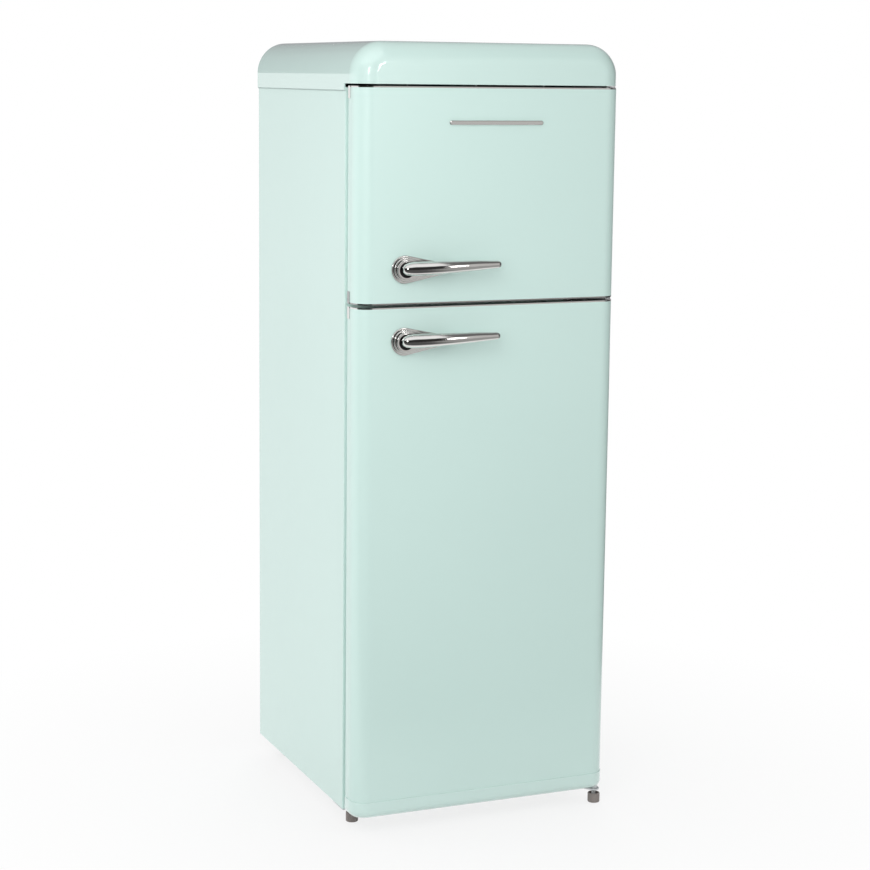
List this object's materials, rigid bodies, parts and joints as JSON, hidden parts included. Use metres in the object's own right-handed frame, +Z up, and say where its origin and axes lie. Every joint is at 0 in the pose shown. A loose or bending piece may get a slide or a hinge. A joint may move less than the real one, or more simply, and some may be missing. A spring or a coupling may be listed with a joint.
{
  "type": "top freezer refrigerator",
  "caption": "Free-standing refrigerator with a freezer door above a taller fridge door, an arched top cover and bright lever-shaped pulls.",
  "frame": {"origin": "centre of the bounding box at the floor", "axes": "+Z up, +X to the right of someone facing the doors, doors face -Y"},
  "size_m": [0.538, 0.6426, 1.492],
  "materials": {
    "enamel": "gloss",
    "cover_plastic": "gloss",
    "chrome": "polished",
    "galvanised": "dull",
    "white_liner": "satin",
    "clear_plastic": "clear",
    "lens": "frosted",
    "shelf_glass": "clear",
    "seal_rubber": "matte",
    "black_rubber": "matte",
    "foam": "matte",
    "black_enamel": "semi gloss",
    "white_wire": "gloss",
    "copper": "dull",
    "evaporator_plate": "dull",
    "black_plastic": "matte",
    "foot_plastic": "matte"
  },
  "bodies": {
    "cabinet": {"back_panel": "galvanised", "base_pan": "galvanised", "bottom_hinge": "galvanised", "cabinet_wrapper": "enamel", "compressor": "black_enamel", "compressor_grommets": "black_rubber", "compressor_tray": "galvanised", "condenser_clips": "black_plastic", "condenser_tube": "black_enamel", "condenser_wires": "black_enamel", "cord_gland": "black_plastic", "crisper_lid": "shelf_glass", "drip_tray": "black_plastic", "evaporator": "evaporator_plate", "fixing_screws": "galvanised", "freezer_liner": "white_liner", "freezer_shelf": "white_wire", "fridge_liner": "white_liner", "insulation": "foam", "lamp_lens": "lens", "left_foot_bracket": "galvanised", "lower_shelf": "shelf_glass", "middle_hinge": "galvanised", "middle_rail": "enamel", "refrigerant_pipes": "copper", "roller_axles": "galvanised", "shelf_trims": "white_liner", "start_relay": "black_plastic", "switch_housing": "white_liner", "thermostat_housing": "white_liner", "top_cover": "cover_plastic", "top_hinge": "galvanised", "upper_shelf": "shelf_glass"},
    "freezer_door": {"freezer_door_skin": "enamel", "freezer_door_foam": "foam", "freezer_door_liner": "white_liner", "freezer_door_gasket": "seal_rubber", "freezer_top_trim": "chrome", "freezer_bottom_trim": "chrome", "freezer_handle": "chrome", "freezer_upper_bin": "clear_plastic", "freezer_lower_bin": "clear_plastic", "badge": "chrome"},
    "fridge_door": {"fridge_door_skin": "enamel", "fridge_door_foam": "foam", "fridge_door_liner": "white_liner", "fridge_door_gasket": "seal_rubber", "fridge_top_trim": "chrome", "fridge_bottom_cap": "cover_plastic", "fridge_handle": "chrome", "dairy_bin": "clear_plastic", "middle_bin": "clear_plastic", "bottle_bin": "clear_plastic"},
    "thermostat_knob": {"thermostat_knob": "white_liner"},
    "switch_plunger": {"switch_plunger": "white_liner"},
    "crisper_drawer": {"crisper_drawer": "clear_plastic"},
    "left_foot": {"left_foot": "foot_plastic"},
    "right_foot": {"right_foot": "foot_plastic"},
    "left_roller": {"left_roller": "black_plastic"},
    "right_roller": {"right_roller": "black_plastic"}
  },
  "joints": [
    {"name": "freezer_door", "type": "hinge", "parent": "cabinet", "child": "freezer_door", "pos_m": [0.2525, -0.25533, 1.2], "axis": [0, 0, 1], "range_deg": [0, 120]},
    {"name": "fridge_door", "type": "hinge", "parent": "cabinet", "child": "fridge_door", "pos_m": [0.2525, -0.25533, 0.5], "axis": [0, 0, 1], "range_deg": [0, 120]},
    {"name": "thermostat_knob", "type": "hinge", "parent": "cabinet", "child": "thermostat_knob", "pos_m": [-0.048, -0.09732, 0.964], "axis": [0, -1, 0], "range_deg": [-150, 150]},
    {"name": "switch_plunger", "type": "slide", "parent": "cabinet", "child": "switch_plunger", "axis": [0, -1, 0], "range_m": [0, 0.008]},
    {"name": "crisper_drawer", "type": "slide", "parent": "cabinet", "child": "crisper_drawer", "axis": [0, -1, 0], "range_m": [0, 0.08]},
    {"name": "left_foot", "type": "slide", "parent": "cabinet", "child": "left_foot", "axis": [0, 0, -1], "range_m": [0, 0.01]},
    {"name": "right_foot", "type": "slide", "parent": "cabinet", "child": "right_foot", "axis": [0, 0, -1], "range_m": [0, 0.01]},
    {"name": "left_roller", "type": "hinge", "parent": "cabinet", "child": "left_roller", "pos_m": [-0.2245, 0.24918, 0.016], "axis": [1, 0, 0], "continuous": true},
    {"name": "right_roller", "type": "hinge", "parent": "cabinet", "child": "right_roller", "pos_m": [0.2245, 0.24918, 0.016], "axis": [1, 0, 0], "continuous": true}
  ],
  "couplings": [
    {"joint": "switch_plunger", "follows": "fridge_door", "m_per_rad": 0.0038}
  ]
}
